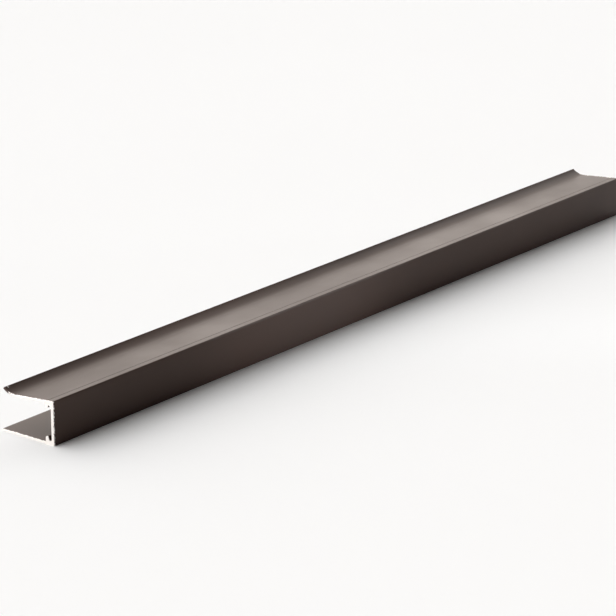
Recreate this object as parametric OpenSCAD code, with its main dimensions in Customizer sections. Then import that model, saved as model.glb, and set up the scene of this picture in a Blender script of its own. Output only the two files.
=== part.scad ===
// Aluminium edge profile for multiwall glazing sheet, brown coated, sawn to length.
// One extruded piece: a channel with a flat lower flange, an upper flange that leans in
// and then flares up in a lip, and a stop rib beside the web on each flange.
// X runs along the length, +Y is the open side, +Z is up, and it lies on its lower flange.

/* [Stock] */
// Length of the sawn piece
length = 432; // [50:1:3000]

/* [Channel] */
// Height of the web over its outer corners
web_h = 20; // [19:0.5:24]
// Width of the lower flange from the web's outer face
flange_w = 30.4; // [30:0.1:40]
// Wall thickness of the web
web_t = 1.5; // [1.4:0.1:1.8]
// Wall thickness of both flanges
flange_t = 1; // [0.8:0.1:1.2]
// Angle at which the upper flange leans in
lean = 5.2; // [4:0.1:6]

/* [Lip] */
// Flat run of the upper flange from the web's outer corner to the lip
flat_run = 21.4; // [18:0.1:21.5]
// Radius of the lip's hollow upper face
lip_r = 9.8; // [6:0.1:10]
// Angle that the lip turns up through
lip_turn = 42; // [20:0.5:45]

/* [Stop ribs] */
// Distance from the web's outer face to where the sheet stops
stop_at = 4.9; // [4.7:0.1:5]
// Width of a rib
rib_w = 1.8; // [1.6:0.1:2]
// Height of a rib over its flange's outer face
rib_h = 3.7; // [3.6:0.1:4.5]
// Metal left under the slot between the lower rib and the web
slot_floor = 1.9; // [1.5:0.1:2]
// Metal left over the slot beside the upper rib
upper_floor = 2.3; // [2:0.1:2.4]
// Width of the slot beside the upper rib
upper_slot = 0.8; // [0.6:0.1:0.9]

/* [Guide line] */
// Distance from the web's outer corner to the fine V line along the upper flange, a guide for drilling
guide_at = 3.8; // [3.4:0.1:4.2]
// Width of the V line
guide_w = 0.3; // [0.2:0.1:0.4]

/* [Edges] */
// Radius of the two outer corners
corner_r = 0.5; // [0.3:0.1:0.7]
// Radius of the fillet at a rib's foot
foot_r = 0.3; // [0.2:0.1:0.4]

/* [Hidden] */
$fn = 96;

rib_r = rib_w / 2;
edge_r = flange_t / 2;
// The lip's nose is a little fuller than its wall, so it meets both faces
nose_r = 0.54 * flange_t;
// The lower slot takes all the room between its rib and the web
lower_slot = stop_at - rib_w - web_t;
// Distance along the leaning flange from the web's outer corner to the foot of the upper rib
upper_foot = (stop_at + flange_t * sin(lean)) / cos(lean);
// Overlap that joins neighbouring shapes
lap = 0.2;

// Corner of the two axes outside an arc that touches both: fills a hollow corner or rounds a sharp one
module spandrel(r) {
    difference() {
        translate([-lap, -lap]) square(r + lap);
        translate([r, r]) circle(r);
    }
}

// Stop rib and the round-bottomed slot behind it, drawn up from the outer face of its flange
module stop_rib(slot_w, floor_t) {
    slot_r = slot_w / 2;
    difference() {
        translate([web_t / 2, 0]) square([stop_at - rib_w + lap - web_t / 2, floor_t + slot_r]);
        translate([stop_at - rib_w - slot_r, floor_t + slot_r]) circle(slot_r);
    }
    translate([stop_at - rib_w, edge_r]) square([rib_w, rib_h - rib_r - edge_r]);
    translate([stop_at - rib_r, rib_h - rib_r]) circle(rib_r);
}

// Lip about the centre of its bend: a wall bent up from straight down, with a round nose
module lip() {
    outer_r = lip_r + flange_t;
    intersection() {
        difference() {
            circle(outer_r);
            circle(lip_r);
        }
        translate([0, -outer_r]) square(outer_r);
        rotate(lip_turn) {
            translate([-outer_r, -outer_r]) square([outer_r, 2 * outer_r]);
            translate([0, -lip_r - flange_t / 2]) circle(nose_r);
        }
    }
}

module lower_flange() {
    translate([web_t / 2, 0]) square([flange_w - edge_r - web_t / 2, flange_t]);
    translate([flange_w - edge_r, edge_r]) circle(edge_r);
    translate([stop_at, flange_t]) spandrel(foot_r);
}

// Upper flange in its own frame, from the web's outer corner, with its outer face on the X axis
module upper_flange() {
    translate([web_t, -flange_t]) square([flat_run - web_t, flange_t]);
    translate([upper_foot, -flange_t]) mirror([0, 1]) spandrel(foot_r);
    translate([flat_run, lip_r]) lip();
}

// What the leaning outer face and its guide line leave off, in the upper flange's own frame
module over_flange() {
    translate([-lap, 0]) square([stop_at + 2 * lap, flange_t]);
    translate([guide_at, 0]) rotate(45) square(guide_w * sin(45), center = true);
}

module section() {
    difference() {
        union() {
            square([web_t, web_h]);
            lower_flange();
            stop_rib(lower_slot, slot_floor);
            translate([0, web_h]) mirror([0, 1]) stop_rib(upper_slot, upper_floor);
            translate([0, web_h]) rotate(-lean) upper_flange();
        }
        spandrel(corner_r);
        translate([0, web_h]) mirror([0, 1]) spandrel(corner_r);
        translate([0, web_h]) rotate(-lean) over_flange();
    }
}

module edge_channel() {
    color("#4a372f")
        rotate([90, 0, 90])
            translate([-flange_w / 2, 0, 0])
                linear_extrude(height = length, center = true)
                    section();
}

edge_channel();
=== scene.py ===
import bpy
import numpy as np
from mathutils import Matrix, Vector


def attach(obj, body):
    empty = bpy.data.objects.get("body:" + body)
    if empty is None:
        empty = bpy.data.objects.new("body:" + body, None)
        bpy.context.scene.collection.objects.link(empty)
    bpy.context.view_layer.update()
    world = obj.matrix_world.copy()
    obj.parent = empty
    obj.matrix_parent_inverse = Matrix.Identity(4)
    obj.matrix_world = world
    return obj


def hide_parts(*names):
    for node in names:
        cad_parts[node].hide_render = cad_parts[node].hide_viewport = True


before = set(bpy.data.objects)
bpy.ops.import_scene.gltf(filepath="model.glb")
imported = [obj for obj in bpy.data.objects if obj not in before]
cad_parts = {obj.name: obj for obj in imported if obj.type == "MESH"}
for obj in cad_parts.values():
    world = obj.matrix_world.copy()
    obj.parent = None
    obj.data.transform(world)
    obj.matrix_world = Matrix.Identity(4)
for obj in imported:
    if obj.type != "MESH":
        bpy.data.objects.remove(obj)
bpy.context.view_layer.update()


# Edge channel: an aluminium extrusion that caps the edge of a 16 mm multiwall sheet.
# Its coat is a dark brown satin stoving paint, sprayed on before the stock was sawn,
# so both sawn ends show bare bright metal. The section is carried along the length.

# Metres in a millimetre
MM = 0.001
# Sizes of the stock and its section in millimetres, the lean in radians and the lip's turn in degrees
LENGTH, FLANGE_WIDTH, WEB_HEIGHT = 432.0, 30.4, 20.0
WEB_WALL, FLANGE_WALL = 1.5, 1.0
LEAN, FLAT_RUN = np.radians(5.2), 21.4
LIP_RADIUS, LIP_TURN = 9.8, 42.0
STOP_AT, RIB_WIDTH, RIB_HEIGHT = 4.9, 1.8, 3.7
SLOT_FLOOR, UPPER_FLOOR, UPPER_SLOT = 1.9, 2.3, 0.8
GUIDE_AT, GUIDE_WIDTH = 3.8, 0.3
CORNER_RADIUS, FOOT_RADIUS = 0.5, 0.3
NOSE_LENGTH, NOSE_RADIUS = 0.28, 0.1
BROKEN_EDGE = 0.08
# Sections along the length, degrees between the points of a bend, and the fewest steps in one
STATIONS, BEND_STEP, FEWEST_STEPS = 73, 6, 4


def straight(start, end):
    """A straight face: its two end points, and the normal to the right of its run at both."""
    points = np.array([start, end], float)
    run = points[1] - points[0]
    normal = np.array([run[1], -run[0]]) / np.hypot(*run)
    return points, np.stack([normal, normal])


def bend(centre, radius, start, end):
    """A round face: points at centre plus radius times (cosine, sine) of angles from start to
    end in degrees. The normal points away from the centre, or to it where the angles fall."""
    steps = max(FEWEST_STEPS, int(abs(end - start) / BEND_STEP + 1))
    angle = np.radians(np.linspace(start, end, steps + 1))
    spoke = np.stack([np.cos(angle), np.sin(angle)], 1)
    return np.array(centre) + radius * spoke, spoke * np.sign(end - start)


def on_flange(face):
    """A face drawn with the upper flange's outer side level along the first axis, turned down
    by the lean about the web's top corner."""
    turn = np.array([[np.cos(LEAN), -np.sin(LEAN)], [np.sin(LEAN), np.cos(LEAN)]])
    points, normals = face
    return points @ turn + [0, WEB_HEIGHT], normals @ turn


# Rounds of the lower flange's free edge, the ribs and the slots, and where these stand in the section
EDGE_ROUND, RIB_ROUND, UPPER_ROUND = FLANGE_WALL / 2, RIB_WIDTH / 2, UPPER_SLOT / 2
EDGE_MIDDLE = FLANGE_WIDTH - EDGE_ROUND
RIB_BACK, RIB_MIDDLE = STOP_AT - RIB_WIDTH, STOP_AT - RIB_ROUND
SLOT_ROUND = (RIB_BACK - WEB_WALL) / 2
SLOT_MIDDLE, SLOT_LEVEL = WEB_WALL + SLOT_ROUND, SLOT_FLOOR + SLOT_ROUND
DOME_LEVEL = RIB_HEIGHT - RIB_ROUND
UPPER_DOME = WEB_HEIGHT - DOME_LEVEL
UPPER_LEVEL = WEB_HEIGHT - UPPER_FLOOR - UPPER_ROUND
# The foot fillets: the upper one touches the rib's upright face and the leaning underside
FOOT_AT, FOOT_LEVEL = STOP_AT + FOOT_RADIUS, FLANGE_WALL + FOOT_RADIUS
UPPER_FOOT = WEB_HEIGHT - (FOOT_LEVEL + FOOT_AT * np.sin(LEAN)) / np.cos(LEAN)
FOOT_RUN = FOOT_AT / np.cos(LEAN) + FOOT_LEVEL * np.tan(LEAN)
# The lip runs straight on for a little past its bend, and its end is cut square with two small rounds
LIP_CENTRE = np.array([FLAT_RUN, LIP_RADIUS])
LIP_OUT = np.array([np.sin(np.radians(LIP_TURN)), -np.cos(np.radians(LIP_TURN))])
LIP_ON = np.array([-LIP_OUT[1], LIP_OUT[0]])
LIP_UNDER = LIP_CENTRE + (LIP_RADIUS + FLANGE_WALL) * LIP_OUT
LIP_OVER = LIP_CENTRE + LIP_RADIUS * LIP_OUT
UNDER_ROUND = LIP_UNDER + (NOSE_LENGTH - NOSE_RADIUS) * LIP_ON - NOSE_RADIUS * LIP_OUT
OVER_ROUND = LIP_OVER + (NOSE_LENGTH - NOSE_RADIUS) * LIP_ON + NOSE_RADIUS * LIP_OUT
# The V line's depth, and where the web's top corner round ends on both of its faces
GUIDE_DEPTH = GUIDE_WIDTH / 2
CORNER_RUN = CORNER_RADIUS / np.tan(np.pi / 4 - LEAN / 2)
CORNER_LEVEL = WEB_HEIGHT - CORNER_RUN

faces_round = [
    # Lower flange, its free edge, its rib and the slot behind the rib
    straight((CORNER_RADIUS, 0), (EDGE_MIDDLE, 0)),
    bend((EDGE_MIDDLE, EDGE_ROUND), EDGE_ROUND, -90, 90),
    straight((EDGE_MIDDLE, FLANGE_WALL), (FOOT_AT, FLANGE_WALL)),
    bend((FOOT_AT, FOOT_LEVEL), FOOT_RADIUS, -90, -180),
    straight((STOP_AT, FOOT_LEVEL), (STOP_AT, DOME_LEVEL)),
    bend((RIB_MIDDLE, DOME_LEVEL), RIB_ROUND, 0, 180),
    straight((RIB_BACK, DOME_LEVEL), (RIB_BACK, SLOT_LEVEL)),
    bend((SLOT_MIDDLE, SLOT_LEVEL), SLOT_ROUND, 0, -180),
    # Inside of the web, the upper slot and the upper rib
    straight((WEB_WALL, SLOT_LEVEL), (WEB_WALL, UPPER_LEVEL)),
    straight((WEB_WALL, UPPER_LEVEL), (RIB_BACK - UPPER_SLOT, UPPER_LEVEL)),
    bend((RIB_BACK - UPPER_ROUND, UPPER_LEVEL), UPPER_ROUND, 180, 0),
    straight((RIB_BACK, UPPER_LEVEL), (RIB_BACK, UPPER_DOME)),
    bend((RIB_MIDDLE, UPPER_DOME), RIB_ROUND, 180, 360),
    straight((STOP_AT, UPPER_DOME), (STOP_AT, UPPER_FOOT)),
    bend((FOOT_AT, UPPER_FOOT), FOOT_RADIUS, 180, 90 - np.degrees(LEAN)),
    # Underside of the upper flange and its lip, the nose, and back over the top to the V line
    on_flange(straight((FOOT_RUN, -FLANGE_WALL), (FLAT_RUN, -FLANGE_WALL))),
    on_flange(bend(LIP_CENTRE, LIP_RADIUS + FLANGE_WALL, -90, LIP_TURN - 90)),
    on_flange(straight(LIP_UNDER, UNDER_ROUND + NOSE_RADIUS * LIP_OUT)),
    on_flange(bend(UNDER_ROUND, NOSE_RADIUS, LIP_TURN - 90, LIP_TURN)),
    on_flange(straight(UNDER_ROUND + NOSE_RADIUS * LIP_ON, OVER_ROUND + NOSE_RADIUS * LIP_ON)),
    on_flange(bend(OVER_ROUND, NOSE_RADIUS, LIP_TURN, LIP_TURN + 90)),
    on_flange(straight(OVER_ROUND - NOSE_RADIUS * LIP_OUT, LIP_OVER)),
    on_flange(bend(LIP_CENTRE, LIP_RADIUS, LIP_TURN - 90, -90)),
    on_flange(straight((FLAT_RUN, 0), (GUIDE_AT + GUIDE_DEPTH, 0))),
    on_flange(straight((GUIDE_AT + GUIDE_DEPTH, 0), (GUIDE_AT, -GUIDE_DEPTH))),
    on_flange(straight((GUIDE_AT, -GUIDE_DEPTH), (GUIDE_AT - GUIDE_DEPTH, 0))),
    on_flange(straight((GUIDE_AT - GUIDE_DEPTH, 0), (CORNER_RUN, 0))),
    # Outside of the web and its two corners
    bend((CORNER_RADIUS, CORNER_LEVEL), CORNER_RADIUS, 90 - np.degrees(LEAN), 180),
    straight((0, CORNER_LEVEL), (0, CORNER_RADIUS)),
    bend((CORNER_RADIUS, CORNER_RADIUS), CORNER_RADIUS, 180, 270),
]


def extrude(faces):
    """The section carried along X: every row of the grid is the section's outline at one
    station. The first and last rows stand in by the broken edge and close the sawn ends.
    Gives the points in metres, the polygons, their corners' normals, and 1 for bare metal."""
    outline = np.concatenate([points[:-1] for points, _ in faces])
    starts = np.concatenate([normals[:-1] for _, normals in faces])
    ends = np.concatenate([normals[1:] for _, normals in faces])
    around = len(outline)
    outward = starts + np.roll(ends, 1, 0)
    outward /= np.linalg.norm(outward, axis=1)[:, None]
    half = LENGTH / 2
    painted = np.linspace(-half + BROKEN_EDGE, half - BROKEN_EDGE, STATIONS)
    along = np.concatenate([[-half], painted, [half]])
    rows = np.repeat(outline[None], len(along), 0)
    rows[[0, -1]] -= BROKEN_EDGE * outward
    points = np.empty((len(along), around, 3))
    points[..., 0] = along[:, None]
    points[..., 1] = rows[..., 0] - FLANGE_WIDTH / 2
    points[..., 2] = rows[..., 1]

    row, at = np.meshgrid(np.arange(len(along) - 1), np.arange(around), indexing="ij")
    after = (at + 1) % around
    here, beyond = row * around, (row + 1) * around
    quads = np.stack([here + at, here + after, beyond + after, beyond + at], -1)
    corner_normals = np.zeros(quads.shape + (3,))
    corner_normals[:, :, [0, 3], 1:] = starts[None, :, None]
    corner_normals[:, :, [1, 2], 1:] = ends[None, :, None]
    corner_normals[0, :, :, 0], corner_normals[-1, :, :, 0] = -1, 1
    corner_normals /= np.linalg.norm(corner_normals, axis=-1)[..., None]

    last = (len(along) - 1) * around
    caps = [list(range(around))[::-1], list(range(last, last + around))]
    cap_normals = np.repeat([[-1.0, 0, 0], [1.0, 0, 0]], around, 0)
    bare = np.zeros(quads.shape[:2], int)
    bare[[0, -1]] = 1
    return (
        points.reshape(-1, 3) * MM,
        quads.reshape(-1, 4).tolist() + caps,
        np.concatenate([corner_normals.reshape(-1, 3), cap_normals]),
        np.concatenate([bare.ravel(), [1, 1]]),
    )


def feed(tree, made, inputs):
    """Gives each named socket of a shader node its value, or the output that feeds it."""
    for name, value in inputs.items():
        if isinstance(value, bpy.types.NodeSocket):
            tree.links.new(value, made.inputs[name])
        else:
            made.inputs[name].default_value = value


def node(tree, kind, inputs=None, **settings):
    """Adds one shader node: settings are its own options, and inputs go to its sockets."""
    made = tree.nodes.new(kind)
    for name, value in settings.items():
        setattr(made, name, value)
    feed(tree, made, inputs or {})
    return made


def plain_material(name):
    """A new material, its node tree, its Principled shader, and the place of each surface point
    in the piece's own metres."""
    made = bpy.data.materials.new(name)
    made.use_nodes = True
    tree = made.node_tree
    return made, tree, tree.nodes["Principled BSDF"], node(tree, "ShaderNodeTexCoord").outputs["Object"]


def reckoned(tree, operation, *terms):
    """The value over the surface that one operation gives from its terms, taken in order."""
    return node(tree, "ShaderNodeMath", dict(enumerate(terms)), operation=operation).outputs[0]


def gap_from(tree, place, point):
    """The distance of each place from a point."""
    return node(tree, "ShaderNodeVectorMath", {0: place, 1: point}, operation="DISTANCE").outputs["Value"]


def noise(tree, place, grain, detail):
    """A random value that changes smoothly over the surface, about grain times in a metre, with
    changes half as wide and half as strong on top for each step of detail."""
    return node(tree, "ShaderNodeTexNoise", {
        "Vector": place, "Scale": grain, "Detail": detail,
    }).outputs["Fac"]


def graded(tree, value, span, levels, **settings):
    """The value's span from low to high carried over to two levels, which hold beyond its ends."""
    return node(tree, "ShaderNodeMapRange", {
        "Value": value, "From Min": span[0], "From Max": span[1],
        "To Min": levels[0], "To Max": levels[1],
    }, **settings).outputs["Result"]


def blended(tree, mask, under, over):
    """A value over the surface that goes from one level to another where a mask is."""
    return node(tree, "ShaderNodeMix", {"Factor": mask, 2: under, 3: over}).outputs[0]


def recoloured(tree, mask, under, over):
    """A colour over the surface that goes from one to another where a mask is."""
    return node(tree, "ShaderNodeMix", {"Factor": mask, 6: under, 7: over}, data_type="RGBA").outputs[2]


def relief(tree, height, depth):
    """The surface's normal where its height, times the depth in metres, raises it."""
    return node(tree, "ShaderNodeBump", {
        "Height": height, "Strength": 1.0, "Distance": depth,
    }).outputs["Normal"]


# The limit right at an edge, the step of noise over which a patch fades in, and the noise's detail
WEAR_START, WEAR_RIM, WEAR_DETAIL = 0.4, 0.03, 2.0


def ragged_wear():
    """The shared effect: a torn patch beside an edge. It covers most of the surface where the gap
    to the edge is nothing and thins out to nothing over the reach, where noise is over a limit
    that rises with the gap."""
    made = bpy.data.node_groups.new("ragged_wear", "ShaderNodeTree")
    for name, kind in (("Place", "Vector"), ("Gap", "Float"), ("Reach", "Float"), ("Grain", "Float")):
        made.interface.new_socket(name, in_out="INPUT", socket_type="NodeSocket" + kind)
    made.interface.new_socket("Mask", in_out="OUTPUT", socket_type="NodeSocketFloat")
    given = node(made, "NodeGroupInput").outputs
    torn = noise(made, given["Place"], given["Grain"], WEAR_DETAIL)
    share = reckoned(made, "DIVIDE", given["Gap"], given["Reach"])
    limit = reckoned(made, "MULTIPLY_ADD", share, 1 - WEAR_START, WEAR_START)
    over = reckoned(made, "SUBTRACT", torn, limit)
    node(made, "NodeGroupOutput", {"Mask": graded(made, over, (0.0, WEAR_RIM), (0.0, 1.0))})
    return made


RAGGED_WEAR = ragged_wear()


def worn(tree, place, gap, reach, grain):
    """The mask of the shared wear in one material, with that material's own reach and grain."""
    return node(tree, "ShaderNodeGroup", {
        "Place": place, "Gap": gap, "Reach": reach, "Grain": grain,
    }, node_tree=RAGGED_WEAR).outputs["Mask"]


# The span that most values of a noise lie in
NOISE_BODY = (0.3, 0.7)
MOTTLE_DARK, MOTTLE_PALE = (0.049, 0.0275, 0.020, 1), (0.065, 0.036, 0.0265, 1)
MOTTLE_GRAIN, MOTTLE_DETAIL = 26.0, 4.0
SATIN_ROUGHNESS, PAINT_IOR = (0.40, 0.32), 1.25
# Die lines are noise drawn out along the length, and their share of the peel's depth is added to it
DIE_STRETCH, DIE_GRAIN, DIE_DETAIL, DIE_SHARE = (0.003, 1.0, 1.0), 1500.0, 3.0, 0.35
PEEL_GRAIN, PEEL_DETAIL, PEEL_DEPTH = 620.0, 1.0, 0.006 * MM
# Chips reach in from the sawn ends and thin out short of the lip, and their depth is in peel depths
CHIP_REACH, CHIP_GRAIN, CHIP_STOP = 2.0 * MM, 1500.0, 9.0 * MM
CHIP_BRIGHT, CHIP_ROUGHNESS, CHIP_DEPTH = (0.9, 0.87, 0.84, 1), 0.45, 8.0
KNOCK_PLACE, KNOCK_REACH = Vector((2.0 - LENGTH / 2, 12.9, 19.7)) * MM, 1.9 * MM


def brown_coat():
    """Satin paint: two close browns in a soft mottle, faint die lines along the length and a
    fine orange peel. Bare metal shows in chips at the sawn edges and in a knock on the lip."""
    made, tree, paint, place = plain_material("brown_coat")
    along, across, _ = node(tree, "ShaderNodeSeparateXYZ", {"Vector": place}).outputs
    inset = reckoned(tree, "SUBTRACT", LENGTH / 2 * MM, reckoned(tree, "ABSOLUTE", along))
    kept_whole = reckoned(tree, "MAXIMUM", reckoned(tree, "SUBTRACT", across, CHIP_STOP), 0.0)
    end_gap = reckoned(tree, "ADD", inset, kept_whole)
    knock_gap = gap_from(tree, place, KNOCK_PLACE)
    chips = reckoned(
        tree, "MAXIMUM",
        worn(tree, place, end_gap, CHIP_REACH, CHIP_GRAIN),
        worn(tree, place, knock_gap, KNOCK_REACH, CHIP_GRAIN),
    )
    mottle = noise(tree, place, MOTTLE_GRAIN, MOTTLE_DETAIL)
    brown = recoloured(tree, mottle, MOTTLE_DARK, MOTTLE_PALE)
    satin = graded(tree, mottle, NOISE_BODY, SATIN_ROUGHNESS)
    drawn = node(tree, "ShaderNodeMapping", {"Vector": place, "Scale": DIE_STRETCH}).outputs["Vector"]
    die_lines = noise(tree, drawn, DIE_GRAIN, DIE_DETAIL)
    peel = noise(tree, place, PEEL_GRAIN, PEEL_DETAIL)
    sprayed = reckoned(tree, "MULTIPLY_ADD", die_lines, DIE_SHARE, peel)
    chipped = reckoned(tree, "MULTIPLY_ADD", chips, -CHIP_DEPTH, sprayed)
    feed(tree, paint, {
        "Base Color": recoloured(tree, chips, brown, CHIP_BRIGHT),
        "Roughness": blended(tree, chips, satin, CHIP_ROUGHNESS),
        "Metallic": chips,
        "Normal": relief(tree, chipped, PEEL_DEPTH),
        "IOR": PAINT_IOR,
    })
    return made


# The smear lies thick on a core about the lip's nose and tears off over its reach from there,
# and the drag is a thin torn line along the web's outer face
SMEAR_BROWN = (0.07, 0.039, 0.029, 1)
SMEAR_PLACE, SMEAR_CORE = Vector((0.0, 13.2, 19.3)) * MM, 3.4 * MM
SMEAR_REACH, SMEAR_GRAIN = 6.0 * MM, 900.0
DRAG_REACH, DRAG_GRAIN = 0.6 * MM, 1500.0
# A scale that leaves only the place on the sawn face, and the saw blade's centre there
SAWN_FACE, BLADE_CENTRE = (0.0, 1.0, 1.0), Vector((0.0, 70.0, 125.0)) * MM
TEETH_GRAIN, TEETH_DETAIL, TEETH_DEPTH = 2600.0, 3.0, 0.01 * MM
SAWN_DARK, SAWN_PALE = (0.95, 0.90, 0.86, 1), (0.99, 0.945, 0.905, 1)
SAWN_ROUGHNESS = (0.38, 0.52)


def sawn_metal():
    """Bare sawn aluminium: the blade's marks are rings about its far centre, as noise of the
    distance from there, in the colour, the gloss and the relief. The blade left paint smeared
    over the lip's nose, and dragged a little over the edge at the web's outer face."""
    made, tree, metal, place = plain_material("sawn_metal")
    across = node(tree, "ShaderNodeSeparateXYZ", {"Vector": place}).outputs["Y"]
    on_face = node(tree, "ShaderNodeMapping", {"Vector": place, "Scale": SAWN_FACE}).outputs["Vector"]
    nose_gap = reckoned(tree, "SUBTRACT", gap_from(tree, on_face, SMEAR_PLACE), SMEAR_CORE)
    web_gap = reckoned(tree, "ADD", across, FLANGE_WIDTH / 2 * MM)
    smear = reckoned(
        tree, "MAXIMUM",
        worn(tree, place, nose_gap, SMEAR_REACH, SMEAR_GRAIN),
        worn(tree, place, web_gap, DRAG_REACH, DRAG_GRAIN),
    )
    teeth = node(tree, "ShaderNodeTexNoise", {
        "W": gap_from(tree, on_face, BLADE_CENTRE), "Scale": TEETH_GRAIN, "Detail": TEETH_DETAIL,
    }, noise_dimensions="1D").outputs["Fac"]
    bright = recoloured(tree, teeth, SAWN_DARK, SAWN_PALE)
    feed(tree, metal, {
        "Base Color": recoloured(tree, smear, bright, SMEAR_BROWN),
        "Roughness": graded(tree, teeth, NOISE_BODY, SAWN_ROUGHNESS),
        "Metallic": reckoned(tree, "SUBTRACT", 1.0, smear),
        "Normal": relief(tree, teeth, TEETH_DEPTH),
    })
    return made


def put_in(name, held):
    """A new object in the scene that holds a mesh, a lamp or a camera."""
    made = bpy.data.objects.new(name, held)
    bpy.context.scene.collection.objects.link(made)
    return made


points, polygons, normals, bare = extrude(faces_round)
channel_mesh = bpy.data.meshes.new("channel_skin")
channel_mesh.from_pydata(points, [], polygons)
channel_mesh.materials.append(brown_coat())
channel_mesh.materials.append(sawn_metal())
channel_mesh.polygons.foreach_set("material_index", bare.astype(np.int32))
channel_mesh.polygons.foreach_set("use_smooth", np.ones(len(bare), bool))
channel_mesh.normals_split_custom_set(normals)
channel = put_in("channel_skin", channel_mesh)
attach(channel, "root")
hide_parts("edge_channel")


# Floor: a wide square sheet of white studio paper that the stock lies on.
# It is matt and almost even, with the faint cloudiness of paper.

FLOOR_SIDE = 14.0
PAPER_DARK, PAPER_PALE = (0.93, 0.93, 0.93, 1), (0.95, 0.95, 0.95, 1)
CLOUD_GRAIN, CLOUD_DETAIL = 3.0, 2.0


def studio_paper():
    """Matt white paper: two close whites blended by a soft noise."""
    made, tree, paper, place = plain_material("studio_paper")
    cloud = noise(tree, place, CLOUD_GRAIN, CLOUD_DETAIL)
    feed(tree, paper, {
        "Base Color": recoloured(tree, cloud, PAPER_DARK, PAPER_PALE),
        "Roughness": 1.0,
        "Specular IOR Level": 0.0,
    })
    return made


floor_mesh = bpy.data.meshes.new("floor")
corners = FLOOR_SIDE / 2 * np.array([[-1, -1, 0], [1, -1, 0], [1, 1, 0], [-1, 1, 0]])
floor_mesh.from_pydata(corners, [], [(0, 1, 2, 3)])
floor_mesh.materials.append(studio_paper())
floor = put_in("floor", floor_mesh)


# Studio light: a broad soft key behind the stock and a top light, so that its web stays in shade,
# lights for the lip and the near sawn end, two low cool spots that lift the web a little, and a dim
# room with a warm glow at the back, which the satin top face mirrors.

WARM_WHITE, COOL_WHITE = (1.0, 0.94, 0.88), (0.92, 0.97, 1.0)
# A spot's distance from the web and its bulb's radius in metres, and the height it is aimed at in millimetres
SPOT_DISTANCE, SPOT_BULB, SPOT_LEVEL = 2.0, 0.02, 8.0
# The room's even level, and the glow's own level and azimuth. The glow falls over a span of heights
# of the unit direction, and over a span of cosines of the angle from the glow's azimuth.
ROOM, GLOW, GLOW_AZIMUTH = 0.04, 2.54, 41
GLOW_HEIGHTS, GLOW_SIDES = (0.12, 0.92), (0.40, 0.95)


def direction(azimuth, elevation):
    """The unit vector at an azimuth from +X to +Y and an elevation over the floor, in degrees."""
    turn, rise = np.radians([azimuth, elevation])
    return Vector((np.cos(rise) * np.cos(turn), np.cos(rise) * np.sin(turn), np.sin(rise)))


def soft_light(name, strength, spread, azimuth, elevation):
    """A distant soft lamp, as wide as its spread in degrees, that shines from a direction."""
    lamp = bpy.data.lights.new(name, "SUN")
    lamp.energy, lamp.angle = strength, np.radians(spread)
    made = put_in(name, lamp)
    made.rotation_euler = direction(azimuth, elevation).to_track_quat("Z", "Y").to_euler()


def soft_spot(name, power, cone, azimuth, elevation, along):
    """A far lamp with a cone in degrees that fades out from its middle, aimed from a direction at
    the web's outer face, so many millimetres along from its middle."""
    lamp = bpy.data.lights.new(name, "SPOT")
    lamp.energy, lamp.color, lamp.shadow_soft_size = power, COOL_WHITE, SPOT_BULB
    lamp.spot_size, lamp.spot_blend = np.radians(cone), 1.0
    made = put_in(name, lamp)
    aim, towards = Vector((along, -FLANGE_WIDTH / 2, SPOT_LEVEL)) * MM, direction(azimuth, elevation)
    made.location = aim + SPOT_DISTANCE * towards
    made.rotation_euler = towards.to_track_quat("Z", "Y").to_euler()


def studio_room():
    """The room's light by direction: an even level, plus a glow that falls smoothly from low
    heights to high ones and from its middle round to its sides."""
    made = bpy.data.worlds.new("room")
    made.use_nodes = True
    tree = made.node_tree
    towards = node(tree, "ShaderNodeTexCoord").outputs["Generated"]
    height = node(tree, "ShaderNodeSeparateXYZ", {"Vector": towards}).outputs["Z"]
    behind = node(tree, "ShaderNodeVectorMath", {
        0: towards, 1: direction(GLOW_AZIMUTH, 0),
    }, operation="DOT_PRODUCT").outputs["Value"]
    low = graded(tree, height, GLOW_HEIGHTS, (GLOW, 0.0), interpolation_type="SMOOTHSTEP")
    back = graded(tree, behind, GLOW_SIDES, (0.0, 1.0), interpolation_type="SMOOTHSTEP")
    feed(tree, tree.nodes["Background"], {
        "Color": (*WARM_WHITE, 1),
        "Strength": reckoned(tree, "MULTIPLY_ADD", low, back, ROOM),
    })
    return made


soft_light("key", strength=1.8, spread=60, azimuth=95, elevation=30)
soft_light("top_light", strength=0.88, spread=40, azimuth=120, elevation=74)
soft_light("lip_light", strength=0.25, spread=28, azimuth=50, elevation=44)
soft_light("rim", strength=0.31, spread=28, azimuth=8, elevation=31)
soft_light("end_fill", strength=1.9, spread=50, azimuth=155, elevation=16)
soft_spot("web_spot", power=94, cone=3.4, azimuth=-42, elevation=3, along=-50)
soft_spot("far_spot", power=28, cone=7.0, azimuth=-36, elevation=3, along=150)
bpy.context.scene.world = studio_room()
bpy.context.scene.view_settings.view_transform = "Standard"


# Camera: a long lens more than a metre off, on the web's side of the near sawn end.
# It looks along the stock and a little down on it, and the far end meets the frame's right edge.

CAMERA_PLACE = (-1.06138, -0.82400, 0.45073)
CAMERA_TURN, CAMERA_DIP = 38.5230, 18.4860
CAMERA_LENS, SENSOR_WIDTH = 174.1, 36.0
NEAREST_SEEN, FARTHEST_SEEN = 0.05, 40.0

camera_data = bpy.data.cameras.new("camera")
camera_data.lens, camera_data.sensor_width = CAMERA_LENS, SENSOR_WIDTH
camera_data.clip_start, camera_data.clip_end = NEAREST_SEEN, FARTHEST_SEEN
camera = put_in("camera", camera_data)
camera.location = CAMERA_PLACE
camera.rotation_euler = direction(CAMERA_TURN, -CAMERA_DIP).to_track_quat("-Z", "Y").to_euler()
bpy.context.scene.camera = camera
